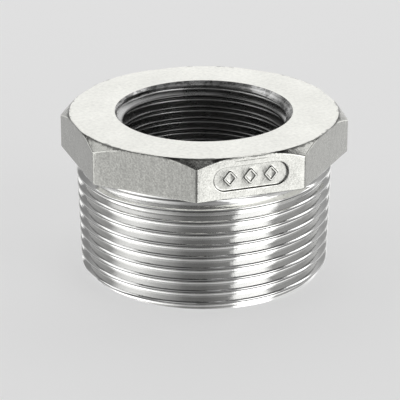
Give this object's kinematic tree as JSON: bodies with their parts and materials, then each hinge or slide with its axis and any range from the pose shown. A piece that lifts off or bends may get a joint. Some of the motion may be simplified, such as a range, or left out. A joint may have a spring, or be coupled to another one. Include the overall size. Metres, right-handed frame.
{
  "type": "reducing bushing",
  "caption": "Reducing pipe bushing in cast steel: an octagonal spanner head on a taper male thread, with a smaller female thread through its middle.",
  "frame": {"origin": "centre of the male end's flat face, on the bore's axis", "axes": "+Z along the bore from the male end to the head, -Y out of the flat with the pocket"},
  "size_m": [0.05, 0.05, 0.0307],
  "materials": {
    "steel": "cast head with a blasted surface, turned top face, machine-cut threads"
  },
  "bodies": {
    "root": {"bushing": "steel"}
  },
  "joints": []
}
